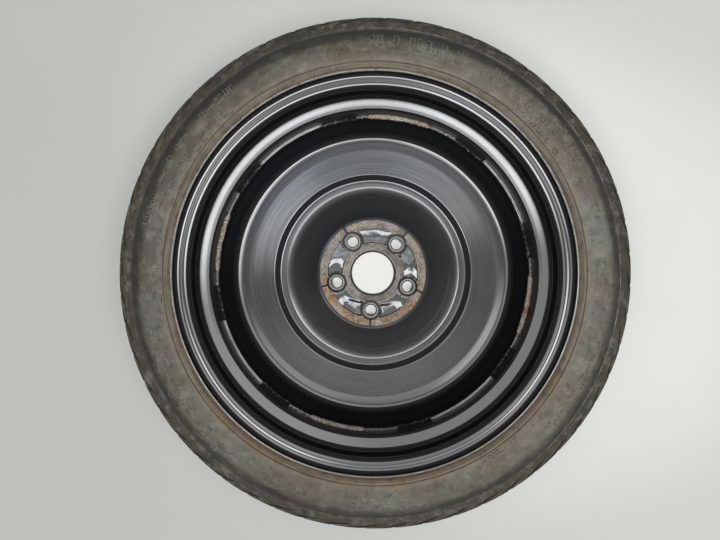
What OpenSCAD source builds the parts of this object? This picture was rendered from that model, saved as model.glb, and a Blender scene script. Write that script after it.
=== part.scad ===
// Temporary spare wheel: rolled steel rim, pressed steel disc, welds, tyre and snap-in valve.
// It lies with its hub side up. The origin is the centre of the hub face, +Z points to the hub.
// Depths are measured down from the lip of the upper flange.

/* [Rim] */
// Width between the two flanges where the beads press
rim_width = 101.6; // [95:0.1:110]
// Nominal diameter of the bead seats
bead_d = 436.6; // [430:0.1:440]
// Height of a flange above its bead seat
flange_h = 16.7; // [15:0.1:18]
// Distance of the hub face from the rim's centre plane
offset_et = 45; // [40:1:50]
// Sheet thickness of the rim
rim_t = 2.4; // [2:0.1:3]
// Inner radius of the drop well
well_r = 198.6; // [197:0.1:199.4]

/* [Disc] */
// Sheet thickness of the disc
disc_t = 3.2; // [2.8:0.1:3.6]
// Depth of the disc's sheared edge
edge_depth = 58.6; // [55:0.1:62]
// Depth of the flat floor of the disc
floor_depth = 113.8; // [112:0.1:115]
// Depth of the groove round the hub pad
groove_depth = 120; // [118:0.1:120.6]
// Depth of the notches between the lobes of its edge
notch_depth = 6; // [3:0.5:9]

/* [Hub] */
// Radius of the centre bore
bore_r = 28.05; // [27:0.05:29]
// Pitch circle diameter of the wheel nuts
pcd = 100; // [98:0.1:102]
// Number of wheel nuts
nuts = 5; // [5]
// Radius of a nut hole
nut_hole_r = 7; // [6.5:0.1:7.4]
// Angle of the first nut hole
nut_first = 50.7; // [0:0.1:71]
// Radius of the hub pad
pad_r = 73; // [71:0.5:74]
// Depth of the pockets in the hub pad
pocket = 2.2; // [1.5:0.1:2.4]

/* [Tyre] */
// Outer diameter of the tyre
tyre_d = 607; // [603:0.5:611]
// Radius of the tread across the tyre
crown_r = 400; // [300:10:600]
// Half width of the tread
tread_half = 45.6; // [44:0.1:47]
// Depth of the tread grooves
tread_depth = 4.4; // [3:0.1:5]
// Number of slots round each shoulder
slots = 52; // [40:1:60]

/* [Valve] */
// Tilt of the valve from the wheel's axis
valve_tilt = 27; // [25:1:29]
// Radius of the valve hole
valve_hole_r = 5.65; // [5.6:0.01:5.7]
// Length of the valve beyond the rim
valve_len = 25; // [24:0.5:26]

/* [Hidden] */
$fn = 128;
arc_step = 10;

lip_gap = 10;
rim_total = rim_width + 2 * lip_gap;
hub_depth = rim_total / 2 + offset_et;
seat_r = bead_d / 2;
lip_r = seat_r + flange_h;
curl_r = 9.5;
bead_corner_r = 6.5;
seat_slope = tan(5);
mid_z = hub_depth - rim_total / 2;

disc_edge_r = well_r - disc_t;
cone_foot_r = 118;
step_r = 126;
floor_r = 133.6;
pad_ring_r = 61.8;
bore_ring_r = 39.8;
nut_recess_r = 13.2;
nut_collar_r = 10.4;

// Plane geometry

function unit(v) = v / norm(v);
function left(v) = [-v[1], v[0]];
function cross2(a, b) = a[0] * b[1] - a[1] * b[0];
function turned(v, a) = [v[0] * cos(a) - v[1] * sin(a), v[0] * sin(a) + v[1] * cos(a)];
function xy(p) = [p[0], p[1]];

// Points of the arc of radius r that rounds the corner b between a and c
function round_at(a, b, c, r) =
    let (u = unit(a - b), w = unit(c - b), half = acos(u * w) / 2, turn = 180 - 2 * half,
         centre = b + unit(u + w) * r / sin(half), first = b + u * r / tan(half) - centre,
         side = cross2(b - a, c - b) > 0 ? 1 : -1, n = max(2, ceil(turn / arc_step)))
    [for (i = [0 : n]) centre + turned(first, side * turn * i / n)];

// A path or loop of [x, y, corner radius] with its corners rounded
function rounded(path) =
    let (n = len(path))
    [for (i = [0 : n - 1])
        each path[i][2] == 0 ? [xy(path[i])]
            : round_at(xy(path[(i + n - 1) % n]), xy(path[i]), xy(path[(i + 1) % n]), path[i][2])];

// The same path t to its left
function beside(pts, t) =
    let (last = len(pts) - 1)
    [for (i = [0 : last])
        let (back = unit(pts[max(i, 1)] - pts[max(i, 1) - 1]),
             ahead = unit(pts[min(i, last - 1) + 1] - pts[min(i, last - 1)]),
             n = unit(left(back) + left(ahead)))
        pts[i] + n * t / (n * left(ahead))];

function reversed(list) = [for (i = [len(list) - 1 : -1 : 0]) list[i]];
function flipped(path) = [for (p = reversed(path)) [p[0], -p[1], p[2]]];
function to_z(path) = [for (p = path) [p[0], hub_depth - p[1], p[2]]];

// Section of a sheet of thickness t whose visible side is the path
module sheet(pts, t) {
    polygon(concat(pts, reversed(beside(pts, t))));
}

module ring_copies(n, first = 0) {
    for (i = [0 : n - 1]) rotate([0, 0, first + i * 360 / n]) children();
}

// Rim: lip, flange and bead seat on both sides of a drop well

rim_inner_side = [
    [lip_r - rim_t, 0, 0],
    [lip_r - rim_t, lip_gap - rim_t, curl_r - rim_t],
    [seat_r - rim_t, lip_gap - rim_t, bead_corner_r + rim_t],
    [seat_r - rim_t - 19.5 * seat_slope, 29.5, 8],
    [well_r, 38, 8],
    [well_r, 80.5, 8],
    [seat_r - rim_t - 2.5, 92, 8],
    [seat_r - rim_t, rim_total - lip_gap + rim_t, bead_corner_r + rim_t],
    [lip_r - rim_t, rim_total - lip_gap + rim_t, curl_r - rim_t],
    [lip_r - rim_t, rim_total, 0]
];
rim_points = rounded(to_z(rim_inner_side));

module rim() {
    color([0.06, 0.06, 0.065])
    difference() {
        union() {
            rotate_extrude() sheet(rim_points, rim_t);
            valve_frame() translate([0, 0, -rim_t]) cylinder(r = 8.7, h = rim_t);
        }
        valve_frame() {
            translate([0, 0, -rim_t - 1]) cylinder(r = valve_hole_r, h = rim_t + 2);
            cylinder(r = 8.2, h = 3);
            translate([0, 0, -rim_t - 3]) cylinder(r = 9.1, h = 3);
        }
    }
}

// Everything inside the tyre side of the rim, which the tyre's beads press against
module rim_envelope() {
    polygon(concat(beside(rim_points, rim_t), [[150, hub_depth - rim_total], [150, hub_depth]]));
}

// Disc: its welded edge stands in eight lobes, a bare one and a welded one by turns

lobes = [32, 122.6, 211, 305.2];

disc_inner_side = [
    [disc_edge_r, edge_depth, 0],
    [disc_edge_r, 78, 15],
    [186.5, 108.6, 12],
    [168, floor_depth, 60],
    [floor_r, floor_depth, 4],
    [step_r, groove_depth, 4],
    [cone_foot_r, groove_depth, 4.5],
    [pad_r + 1.5, hub_depth, 6],
    [bore_r, hub_depth, 4],
    [bore_r, hub_depth + 9, 0]
];

module pad_pocket() {
    rotate([0, 0, -17.5])
    rotate_extrude(angle = 35)
    polygon([[bore_ring_r, 0.5], [bore_ring_r, 0], [bore_ring_r + 1.4, -pocket],
             [pad_ring_r - 1.2, -pocket], [pad_ring_r, 0], [pad_ring_r, 0.5]]);
}

module edge_notch(width) {
    rotate([0, 0, -width / 2])
    rotate_extrude(angle = width)
    translate([disc_edge_r - 8, hub_depth - edge_depth - notch_depth]) square([20, notch_depth + 1]);
}

module nut_recess() {
    translate([0, 0, -3]) cylinder(r1 = nut_recess_r - 1, r2 = nut_recess_r, h = 3.5);
}

module nut_collar() {
    translate([0, 0, -4]) cylinder(r1 = nut_collar_r + 0.6, r2 = nut_collar_r, h = 4);
}

module nut_hole() {
    translate([0, 0, -8]) cylinder(r = nut_hole_r, h = 9);
    translate([0, 0, -7]) cylinder(r1 = nut_hole_r + 2.6, r2 = nut_hole_r, h = 4);
}

module disc() {
    color([0.08, 0.08, 0.085])
    difference() {
        union() {
            difference() {
                union() {
                    rotate_extrude() sheet(rounded(to_z(disc_inner_side)), disc_t);
                    rotate_extrude()
                    polygon([[36, -disc_t + 0.5], [38, -disc_t - pocket],
                             [63, -disc_t - pocket], [65.5, -disc_t + 0.5]]);
                }
                ring_copies(nuts, nut_first + 180 / nuts) pad_pocket();
                ring_copies(nuts, nut_first) translate([pcd / 2, 0, 0]) nut_recess();
            }
            ring_copies(nuts, nut_first) translate([pcd / 2, 0, 0]) nut_collar();
        }
        ring_copies(nuts, nut_first) {
            translate([pcd / 2, 0, 0]) nut_hole();
            translate([pad_ring_r - 1, -1, -0.7]) cube([16, 2, 2]);
        }
        for (a = lobes, side = [-1, 1]) rotate([0, 0, a + side * 20]) edge_notch(13);
    }
}

// Welds: four beads run on the disc's edge against the well

weld_spans = [[69, 23], [157.5, 22], [246, 21], [337.5, 22]];

module weld_section() {
    difference() {
        translate([disc_edge_r + 1.3, hub_depth - edge_depth]) circle(r = 3.6);
        translate([well_r, 0]) square([10, hub_depth]);
        translate([disc_edge_r - 6, 0]) square([disc_t + 12, hub_depth - edge_depth]);
    }
}

module weld_beads() {
    color([0.42, 0.36, 0.3])
    for (s = weld_spans) rotate([0, 0, s[0]]) rotate_extrude(angle = s[1]) weld_section();
}

// Tyre: half section as [radius, distance from the centre plane, corner radius]

function crown_at(s) = [tyre_d / 2 - s * s / (2 * crown_r), s, 0];

crown_outer = [for (s = [0 : 9 : 40]) crown_at(s)];
shoulder_to_toe = [
    [crown_at(tread_half)[0], tread_half, 2.5],
    [292.4, 50.6, 6],
    [284.4, 54.0, 0.9],
    [283.3, 52.4, 1.6],
    [260, 68.2, 34],
    [238.4, 62.2, 2.6],
    [235.9, 57.4, 0],
    [230, 55, 0],
    [seat_r - 3, 53, 0],
    [seat_r - 5, 31.5, 0]
];
air_side = [
    [227, 45, 10],
    [240, 57, 8],
    [260, 60.5, 24],
    [291, 43, 16]
];

module tyre_section() {
    outer = concat(crown_outer, shoulder_to_toe);
    polygon(rounded(concat(flipped([for (i = [1 : len(outer) - 1]) outer[i]]), outer,
                           air_side, flipped(air_side))));
}

// Slot across the outer rib, and the leaf-shaped groove that goes on from it down the shoulder
module shoulder_slot() {
    rotate([0, 0, -4.2]) translate([302.4, 0, 34]) rotate([-40, 0, 0]) cube([6, 5, 34], center = true);
}

module shoulder_leaf() {
    translate([296.6, 0, 48.4]) rotate([0, -59.5, 0]) rotate([12, 0, 0])
    rotate([0, 45, 0]) cube([2.8, 24, 2.8], center = true);
}

module tyre() {
    color([0.16, 0.155, 0.145])
    translate([0, 0, mid_z])
    difference() {
        rotate_extrude() difference() {
            tyre_section();
            translate([0, -mid_z]) rim_envelope();
            for (s = [-22, 0, 22]) translate([tyre_d / 2, s])
                polygon([[2, -3.4], [2, 3.4], [-tread_depth, 2.4], [-tread_depth, -2.4]]);
        }
        for (m = [0, 1]) mirror([0, 0, m]) ring_copies(slots, m * 180 / slots) {
            shoulder_slot();
            shoulder_leaf();
        }
    }
}

// Valve: local axis points from the rim to the cap, u = 0 at the rim's visible face

valve_r = 206.8;
valve_depth = 86.9;

module valve_frame() {
    translate([valve_r, 0, hub_depth - valve_depth]) rotate([0, 180 + valve_tilt, 0]) children();
}

module turned_piece(points) {
    valve_frame() rotate_extrude() polygon(points);
}

tube_r = 3;
thread_r = 3.85;
thread_from = 14;

module valve_body() {
    color([0.07, 0.07, 0.07])
    turned_piece([[tube_r, -6], [6.4, -6], [8.2, -5.2], [8.8, -4], [8.8, -rim_t], [valve_hole_r, -rim_t],
                  [valve_hole_r, 0], [7.4, 0], [7.4, 1.8], [6.4, 4.4], [4.9, 9], [4.9, 13.4],
                  [4.4, thread_from], [tube_r, thread_from]]);
}

module valve_tube() {
    color([0.72, 0.6, 0.32])
    turned_piece([[1.5, -4.6], [tube_r, -4.6], [tube_r, thread_from], [thread_r, thread_from],
                  [thread_r, valve_len - 0.6], [3.3, valve_len], [2.6, valve_len], [2.6, 17.5],
                  [2.3, 16.9], [2.3, 12], [1.9, 9], [1.9, 5.6], [1.5, 5]]);
}

module core_plug() {
    color([0.75, 0.63, 0.36])
    difference() {
        turned_piece([[0.8, 22.2], [1.5, 21.4], [1.5, 18.4], [2.55, 18.4], [2.55, 21.6], [1.5, 22.6],
                      [1.5, 23.8], [0.8, 23.8]]);
        valve_frame() translate([-3, -0.5, 22.7]) cube([6, 1, 2]);
    }
}

module core_barrel() {
    color([0.75, 0.63, 0.36])
    turned_piece([[0.8, 8], [1.8, 8], [1.8, 9], [1.6, 9], [1.6, 12], [1.9, 12], [1.9, 18.4],
                  [1.3, 18.4], [1.3, 8.8], [0.8, 8.8]]);
}

module core_gasket() {
    color([0.75, 0.2, 0.15])
    turned_piece([[1.6, 9], [1.87, 9], [2.27, 12], [1.6, 12]]);
}

module valve_pin() {
    color([0.7, 0.66, 0.55])
    turned_piece([[0, 5.4], [1.2, 5.4], [1.2, 6.2], [0.5, 6.2], [0.5, 16.2], [1.15, 16.2], [1.15, 17],
                  [0.5, 17.4], [0.5, 24.2], [0.3, 24.4], [0, 24.4]]);
}

module pin_seal() {
    color([0.1, 0.1, 0.1])
    turned_piece([[0.5, 6.2], [1.2, 6.2], [1.35, 7], [1.35, 8], [0.5, 8]]);
}

// Helix of round wire, swept as rings of points
spring_turns = 7;
spring_r = 0.9;
wire_r = 0.2;
wire_sides = 6;
turn_steps = 14;

module core_spring() {
    last = spring_turns * turn_steps;
    rise = 6.9 / last;
    points = [for (i = [0 : last], j = [0 : wire_sides - 1])
        let (a = i * 360 / turn_steps, b = j * 360 / wire_sides, r = spring_r + wire_r * cos(b))
        [r * cos(a), r * sin(a), 9.05 + i * rise + wire_r * sin(b)]];
    walls = [for (i = [0 : last - 1], j = [0 : wire_sides - 1])
        let (k = (j + 1) % wire_sides, p = i * wire_sides, q = p + wire_sides)
        [p + j, p + k, q + k, q + j]];
    ends = [[for (j = [wire_sides - 1 : -1 : 0]) j], [for (j = [0 : wire_sides - 1]) last * wire_sides + j]];
    color([0.7, 0.7, 0.72])
    valve_frame() polyhedron(points, concat(walls, ends));
}

module cap_seal() {
    color([0.12, 0.12, 0.12])
    turned_piece([[1.2, valve_len + 0.02], [3.5, valve_len + 0.02], [3.5, valve_len + 0.8],
                  [1.2, valve_len + 0.8]]);
}

module valve_cap() {
    color([0.05, 0.05, 0.05])
    difference() {
        turned_piece([[thread_r + 0.06, 15.4], [5, 15.4], [5, 26.2], [4.4, 27.2], [0, 27.2],
                      [0, 25.82], [thread_r + 0.06, 25.82]]);
        valve_frame() ring_copies(16) translate([5.35, 0, 14.4]) cylinder(r = 0.6, h = 10.6);
    }
}

tyre();
rim();
disc();
weld_beads();
valve_body();
valve_tube();
core_plug();
core_barrel();
core_gasket();
core_spring();
valve_pin();
pin_seal();
cap_seal();
valve_cap();
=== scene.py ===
# Steel spare wheel with its narrow tyre and valve, lying hub side up on a pale floor.
import math

import bmesh
import bpy
from mathutils import Matrix, Vector
from mathutils.bvhtree import BVHTree
from mathutils.noise import noise


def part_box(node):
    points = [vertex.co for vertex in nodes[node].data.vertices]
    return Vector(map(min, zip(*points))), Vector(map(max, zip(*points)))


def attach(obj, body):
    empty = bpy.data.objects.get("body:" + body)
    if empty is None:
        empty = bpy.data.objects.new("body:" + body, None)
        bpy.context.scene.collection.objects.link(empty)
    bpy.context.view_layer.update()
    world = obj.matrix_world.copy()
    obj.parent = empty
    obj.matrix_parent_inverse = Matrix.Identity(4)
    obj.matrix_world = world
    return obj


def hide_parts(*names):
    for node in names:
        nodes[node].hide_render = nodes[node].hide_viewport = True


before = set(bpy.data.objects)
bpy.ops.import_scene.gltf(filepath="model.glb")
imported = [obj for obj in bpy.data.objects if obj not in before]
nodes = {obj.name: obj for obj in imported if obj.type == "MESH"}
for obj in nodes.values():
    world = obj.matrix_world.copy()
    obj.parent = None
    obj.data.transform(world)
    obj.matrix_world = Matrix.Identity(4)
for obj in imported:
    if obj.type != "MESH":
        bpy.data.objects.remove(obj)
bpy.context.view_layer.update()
mm = 0.001

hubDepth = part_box("rim")[1].z / mm  # lip of the upper flange above the hub face
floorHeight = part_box("tyre")[0].z / mm
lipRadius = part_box("rim")[1].x / mm
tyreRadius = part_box("tyre")[1].x / mm
rimTotal = (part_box("rim")[1].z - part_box("rim")[0].z) / mm
midHeight = hubDepth - rimTotal / 2
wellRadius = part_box("disc")[1].x / mm
print("frame: lip at", round(hubDepth, 2), "mm, floor at", round(floorHeight, 2), "mm")


# Outlines: corners are (radius, height, rounding) in millimetres

def turnAt(before, corner, after):
    back = Vector(corner[:2]) - Vector(before[:2])
    ahead = Vector(after[:2]) - Vector(corner[:2])
    return math.atan2(back.x * ahead.y - back.y * ahead.x, back.dot(ahead))


def roundedWire(mesh, corners, closed, arcStep):
    # arcStep is the turn of one segment in degrees; a rounding under 3 mm takes steps three times as long
    points = [mesh.verts.new((radius * mm, 0, height * mm)) for radius, height, rounding in corners]
    pairs = list(zip(points, points[1:])) + ([(points[-1], points[0])] if closed else [])
    for pair in pairs:
        mesh.edges.new(pair)
    for i, (radius, height, rounding) in enumerate(corners):
        if rounding > 0:
            turn = abs(turnAt(corners[i - 1], corners[i], corners[(i + 1) % len(corners)]))
            step = arcStep if rounding >= 3 else arcStep * 3
            bmesh.ops.bevel(mesh, geom=[points[i]], offset=rounding * math.tan(turn / 2) * mm,
                            affect="VERTICES", segments=max(2, round(math.degrees(turn) / step)),
                            profile=0.5, material=-1)


def sheetLoop(corners, wall):
    # The visible side of a sheet, then its other side, which lies a wall's thickness to the left
    other = []
    for i, (radius, height, rounding) in enumerate(corners):
        here = Vector((radius, height))
        back = (here - Vector(corners[max(i - 1, 0)][:2])).normalized()
        ahead = (Vector(corners[min(i + 1, len(corners) - 1)][:2]) - here).normalized()
        back, ahead = back if i else ahead, ahead if i < len(corners) - 1 else back
        side = (back + ahead).orthogonal().normalized()
        spot = here + side * wall / side.dot(ahead.orthogonal())
        turnsLeft = back.x * ahead.y - back.y * ahead.x > 0
        other.append((spot.x, spot.y, max(0, rounding + (-wall if turnsLeft else wall)) if rounding else 0))
    return list(corners) + other[::-1]


def spun(mesh, steps):
    # One share of the circle is spun and the rest are copies of it, which is much quicker
    shares = math.gcd(steps, 8)
    bmesh.ops.spin(mesh, geom=mesh.verts[:] + mesh.edges[:] + mesh.faces[:], cent=(0, 0, 0), axis=(0, 0, 1),
                   dvec=(0, 0, 0), angle=math.tau / shares, steps=steps // shares,
                   use_merge=False, use_duplicate=False)
    ringOf(mesh, shares)
    bmesh.ops.remove_doubles(mesh, verts=mesh.verts[:], dist=0.002 * mm)
    bmesh.ops.recalc_face_normals(mesh, faces=mesh.faces[:])
    if mesh.calc_volume(signed=True) < 0:
        bmesh.ops.reverse_faces(mesh, faces=mesh.faces[:])


def turnedMesh(corners, steps, arcStep=4, angle=360):
    mesh = bmesh.new()
    roundedWire(mesh, corners, True, arcStep)
    if angle < 360:
        bmesh.ops.contextual_create(mesh, geom=mesh.edges[:])
        spinSolid(mesh, steps, angle)
    else:
        spun(mesh, steps)
    return mesh


def spinSolid(mesh, steps, angle):
    # A face turned through part of a circle: its start face stays as one end, the last as the other
    start = bmesh.ops.duplicate(mesh, geom=mesh.verts[:] + mesh.edges[:] + mesh.faces[:])["geom"]
    bmesh.ops.spin(mesh, geom=start, cent=(0, 0, 0), axis=(0, 0, 1), dvec=(0, 0, 0),
                   angle=math.radians(angle), steps=steps, use_merge=False, use_duplicate=False)
    bmesh.ops.remove_doubles(mesh, verts=mesh.verts[:], dist=0.002 * mm)
    bmesh.ops.recalc_face_normals(mesh, faces=mesh.faces[:])


def finished(name, mesh, finish, body="wheel", sharp=34, replaces=()):
    # Turns a bmesh into a piece of the wheel
    bmesh.ops.recalc_face_normals(mesh, faces=mesh.faces[:])
    data = bpy.data.meshes.new(name)
    mesh.to_mesh(data)
    mesh.free()
    piece = bpy.data.objects.new(name, data)
    bpy.context.scene.collection.objects.link(piece)
    data.shade_smooth()
    data.set_sharp_from_angle(angle=math.radians(sharp))
    dress(piece, finish)
    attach(piece, body)
    if replaces:
        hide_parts(*replaces)
    print("made", name, "with", len(piece.data.polygons), "faces")
    return piece


def dress(piece, finish):
    if piece.data.materials:
        piece.data.materials.clear()
    piece.data.materials.append(finish.material)


def loose(mesh, name):
    # A helper object for a cut, which is removed again
    data = bpy.data.meshes.new(name)
    bmesh.ops.recalc_face_normals(mesh, faces=mesh.faces[:])
    mesh.to_mesh(data)
    mesh.free()
    tool = bpy.data.objects.new(name, data)
    bpy.context.scene.collection.objects.link(tool)
    return tool


def carve(mesh, cutter, operation="DIFFERENCE"):
    # Cuts or adds one closed mesh to another and gives the result as a new bmesh
    piece, tool = loose(mesh, "carved"), loose(cutter, "cutter")
    cut = piece.modifiers.new("cut", "BOOLEAN")
    cut.operation, cut.solver, cut.object = operation, "MANIFOLD", tool
    bpy.context.view_layer.update()
    evaluated = piece.evaluated_get(bpy.context.evaluated_depsgraph_get())
    result = bmesh.new()
    result.from_mesh(evaluated.to_mesh())
    evaluated.to_mesh_clear()
    if not result.faces:
        raise RuntimeError("the cut left nothing")
    for done in (piece, tool):
        data = done.data
        bpy.data.objects.remove(done)
        bpy.data.meshes.remove(data)
    return result


def swing(mesh, angle):
    bmesh.ops.rotate(mesh, verts=mesh.verts[:], cent=(0, 0, 0), matrix=Matrix.Rotation(angle, 3, "Z"))


def ringOf(mesh, count, first=0):
    # Repeats everything in the mesh round the axis
    source = mesh.verts[:] + mesh.edges[:] + mesh.faces[:]
    swing(mesh, math.radians(first))
    for i in range(1, count):
        copy = bmesh.ops.duplicate(mesh, geom=source)["geom"]
        bmesh.ops.rotate(mesh, verts=[v for v in copy if isinstance(v, bmesh.types.BMVert)], cent=(0, 0, 0),
                         matrix=Matrix.Rotation(math.tau * i / count, 3, "Z"))
    return mesh


def drum(mesh, low, high, radius, place):
    bmesh.ops.create_cone(mesh, cap_ends=True, segments=64, radius1=radius * mm, radius2=radius * mm,
                          depth=(high - low) * mm,
                          matrix=place @ Matrix.Translation((0, 0, (low + high) / 2 * mm)))


def joined(mesh, *others):
    for other in others:
        data = bpy.data.meshes.new("part")
        other.to_mesh(data)
        other.free()
        mesh.from_mesh(data)
        bpy.data.meshes.remove(data)
    return mesh


def smoothStep(value, low, high):
    t = min(1, max(0, (value - low) / (high - low)))
    return t * t * (3 - 2 * t)


def degreesFrom(angle, other):
    return abs((angle - other + 180) % 360 - 180)


# Shader values

class Value:
    # One socket's value; arithmetic on it adds Math nodes to its graph
    def __init__(self, graph, socket):
        self.graph, self.socket = graph, socket

    def maths(self, operation, *others):
        inputs = dict(enumerate((self, *others)))
        return self.graph.node("ShaderNodeMath", {"operation": operation}, inputs)

    def __add__(self, other):
        return self.maths("ADD", other)

    def __sub__(self, other):
        return self.maths("SUBTRACT", other)

    def __rsub__(self, other):
        return self.graph.node("ShaderNodeMath", {"operation": "SUBTRACT"}, {0: other, 1: self})

    def __mul__(self, other):
        return self.maths("MULTIPLY", other)

    def __truediv__(self, other):
        return self.maths("DIVIDE", other)

    __radd__ = __add__
    __rmul__ = __mul__


class Graph:
    # A node tree and the few kinds of node that the finishes and the room share
    def __init__(self, tree):
        self.tree = tree

    def node(self, kind, settings=(), inputs=(), output=0):
        made = self.tree.nodes.new(kind)
        for name, value in dict(settings).items():
            setattr(made, name, value)
        for name, value in dict(inputs).items():
            if isinstance(value, Value):
                self.tree.links.new(value.socket, made.inputs[name])
            else:
                made.inputs[name].default_value = value
        return Value(self, made.outputs[output])

    def smooth(self, value, low, high):
        # A soft step from 0 at low to 1 at high; low may be the larger of the two
        return self.node("ShaderNodeMapRange", {"interpolation_type": "SMOOTHSTEP"},
                         {0: value, 1: low, 2: high})

    def band(self, value, low, high, soft):
        return self.smooth(value, low - soft, low) * self.smooth(value, high + soft, high)

    def apart(self, vector):
        parts = self.node("ShaderNodeSeparateXYZ", inputs={0: vector}).socket.node
        return [Value(self, output) for output in parts.outputs]

    def mix(self, factor, first, second):
        first, second = [c if isinstance(c, Value) else (*c, 1) for c in (first, second)]
        return self.node("ShaderNodeMix", {"data_type": "RGBA"}, {0: factor, 6: first, 7: second}, 2)


class Finish(Graph):
    # A material round one Principled shader, with patterns read from Object coordinates
    def __init__(self, name, **fixed):
        self.material = bpy.data.materials.new(name)
        self.material.use_nodes = True
        super().__init__(self.material.node_tree)
        self.shader = self.tree.nodes["Principled BSDF"]
        for key, value in fixed.items():
            self.shader.inputs[key.replace("_", " ")].default_value = value
        self.place = self.node("ShaderNodeTexCoord", output=3)
        self.height = self.apart(self.place)[2] / mm
        flat = self.node("ShaderNodeVectorMath", {"operation": "MULTIPLY"}, {0: self.place, 1: (1, 1, 0)})
        self.radius = self.node("ShaderNodeVectorMath", {"operation": "LENGTH"}, {0: flat}, 1) / mm
        outward = self.node("ShaderNodeVectorMath", {"operation": "NORMALIZE"}, {0: flat})
        self.east, self.north = self.apart(outward)[:2]

    def sector(self, centre, half, soft):
        # 1 within half degrees of the centre angle, 0 from soft degrees further
        towards = self.east * math.cos(math.radians(centre)) + self.north * math.sin(math.radians(centre))
        farthest = math.radians(min(half + soft, 180))
        return self.smooth(towards, math.cos(farthest), math.cos(math.radians(half)))

    def angle(self):
        return self.north.maths("ARCTAN2", self.east) * (180 / math.pi)

    def noise(self, scale, detail=3.0, rough=0.55, where=None):
        return self.node("ShaderNodeTexNoise", {}, {"Vector": where or self.place, "Scale": scale,
                         "Detail": detail, "Roughness": rough})

    def ringNoise(self, around, across, rise=0.0, detail=4, rough=0.6):
        # Noise that follows the ring, by its rates around it, across it per millimetre, and with height
        where = self.node("ShaderNodeCombineXYZ", {}, {0: self.east * around, 1: self.north * around,
                          2: self.radius * across + self.height * rise})
        return self.noise(1.0, detail, rough, where)

    def cells(self, scale):
        return self.node("ShaderNodeTexVoronoi", {}, {"Vector": self.place, "Scale": scale})

    def facingUp(self):
        normal = self.node("ShaderNodeNewGeometry", output=1)
        return self.apart(normal)[2]

    def feed(self, **links):
        for key, value in links.items():
            self.tree.links.new(value.socket, self.shader.inputs[key.replace("_", " ")])

    def bump(self, height, strength, distance):
        normal = self.node("ShaderNodeBump", {}, {"Height": height, "Strength": strength,
                           "Distance": distance * mm})
        self.feed(Normal=normal)


# Finishes: colours first; radii and heights are in millimetres, sectors in degrees

def makeRimPaint():
    look = {"black": (0.006, 0.006, 0.0065), "dust": (0.13, 0.125, 0.11), "chip": (0.42, 0.38, 0.32),
            "rust": (0.16, 0.09, 0.05), "dustAmount": 0.09}
    f = Finish("rimPaint", Specular_IOR_Level=0.12, Coat_Roughness=0.07, Coat_IOR=2.25)
    patches = f.noise(14, 4, 0.6)
    streaks = f.ringNoise(6, 0.9, 0.9)
    specks = f.smooth(f.noise(900, 2, 0.5), 0.70, 0.78)
    scuffs = f.smooth(f.ringNoise(60, 1.6, 1.6, detail=3), 0.62, 0.75)
    level = f.smooth(f.facingUp(), 0.3, 0.9)
    dust = f.smooth(patches * 0.5 + streaks * 0.5, 0.42, 0.66) * look["dustAmount"]
    dust = (dust + specks * 0.2 + scuffs * 0.12) * (0.08 + level * 0.92)
    colour = f.mix(dust, look["black"], look["dust"])
    lip = f.band(f.radius, lipRadius - 1.1, lipRadius + 1, 0.25)
    lip = lip * f.smooth(f.height, hubDepth - 0.9, hubDepth - 0.3)
    chipped = lip * f.smooth(f.ringNoise(26, 0.4, rough=0.7), 0.36, 0.5)
    colour = f.mix(chipped * (1.0 - 0.5 * f.sector(275, 50, 40)), colour, look["chip"])
    weldLine = f.band(f.radius, wellRadius - 0.5, wellRadius + 0.4, 0.4) * f.band(f.height, 44, 53, 2)
    stain = f.smooth(f.ringNoise(18, 0.2, 0.3, rough=0.65), 0.5, 0.66)
    colour = f.mix(weldLine * stain * 0.5, colour, look["rust"])
    gloss = 0.06 + f.smooth(f.facingUp().maths("ABSOLUTE"), 0.2, 0.5) * 0.9
    weldWall = f.band(f.radius, wellRadius - 1, wellRadius + 1, 0.5) * f.band(f.height, 44, 54, 2)
    gloss = gloss + weldWall * 0.05
    onSlope = f.smooth(f.radius, 216, 214) * f.band(f.height, 64, 78, 2)
    ripples = f.smooth(f.ringNoise(30, 0.2, 0.2, rough=0.7), 0.35, 0.6)
    shine = f.band(f.radius, 205.2, 207.2, 3) + 0.1 * ripples
    gloss = gloss * (1.0 - onSlope * (1.0 - shine) * 0.62 * f.sector(100, 80, 30))
    f.feed(Base_Color=colour, Roughness=0.3 + dust * 0.8 + streaks * 0.06 + chipped * 0.3,
           Coat_Weight=gloss * (1.0 - chipped) * (1.0 - dust))
    f.bump(f.noise(420, 3, 0.6) * 0.5 + f.ringNoise(24, 0.5, 0.5, detail=3, rough=0.5), 0.12, 0.12)
    return f


def fromNearestNut(f):
    # Distance aside from the nearest nut's own radius, and distance from that nut's centre
    turned = (f.angle() - pad["firstNut"]).maths("WRAP", 36.0, -36.0) * (math.pi / 180)
    aside = f.radius * turned.maths("SINE")
    along = f.radius * turned.maths("COSINE") - pad["nutCircle"]
    return aside, (aside * aside + along * along).maths("SQRT")


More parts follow.
